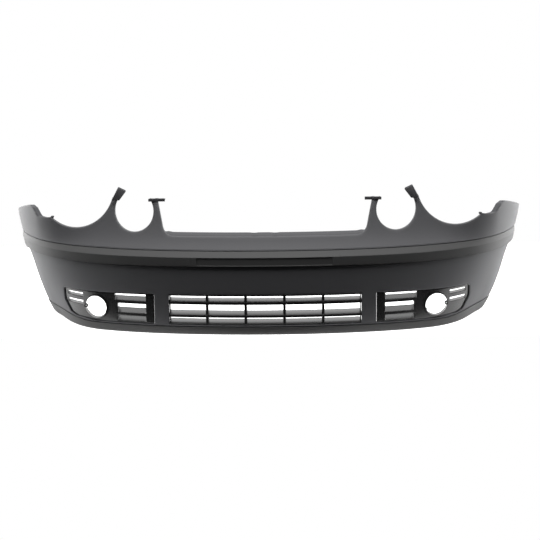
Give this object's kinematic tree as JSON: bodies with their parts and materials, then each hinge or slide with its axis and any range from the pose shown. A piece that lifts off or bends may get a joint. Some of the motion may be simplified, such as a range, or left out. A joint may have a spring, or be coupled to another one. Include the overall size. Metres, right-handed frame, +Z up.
{
  "type": "front bumper cover",
  "caption": "Front bumper cover for a small hatchback, with round headlamp cut-outs, protective strips, lower grilles, fog lamp openings and a lower lip.",
  "frame": {"origin": "centre of the object's footprint, on the plane of the lip's flat underside", "axes": "+Z up, the cover faces -Y, +X is the car's left"},
  "size_m": [1.6322, 0.5563, 0.4235],
  "materials": {
    "satin_primer": "satin dark grey primer on moulded plastic",
    "grained_plastic": "fine grained moulded plastic",
    "grille_plastic": "smooth black moulded plastic",
    "black_nylon": "black nylon",
    "clip_steel": "dark phosphated spring steel"
  },
  "bodies": {
    "root": {"bumper_cover": "satin_primer", "lower_lip": "grained_plastic", "bump_strip_centre": "grained_plastic", "bump_strip_left": "grained_plastic", "bump_strip_right": "grained_plastic", "centre_grille": "grille_plastic", "fog_grille_left": "grille_plastic", "fog_grille_right": "grille_plastic", "strip_clip_centre_1": "clip_steel", "strip_clip_centre_2": "clip_steel", "strip_clip_centre_3": "clip_steel", "strip_clip_centre_4": "clip_steel", "strip_clip_left_1": "clip_steel", "strip_clip_left_2": "clip_steel", "strip_clip_left_3": "clip_steel", "strip_clip_right_1": "clip_steel", "strip_clip_right_2": "clip_steel", "strip_clip_right_3": "clip_steel", "push_rivet_1": "black_nylon", "push_rivet_2": "black_nylon", "push_rivet_3": "black_nylon", "push_rivet_4": "black_nylon", "push_rivet_5": "black_nylon", "push_rivet_6": "black_nylon", "push_rivet_7": "black_nylon", "wing_nut_left_1": "clip_steel", "wing_nut_left_2": "clip_steel", "wing_nut_right_1": "clip_steel", "wing_nut_right_2": "clip_steel"}
  },
  "joints": []
}
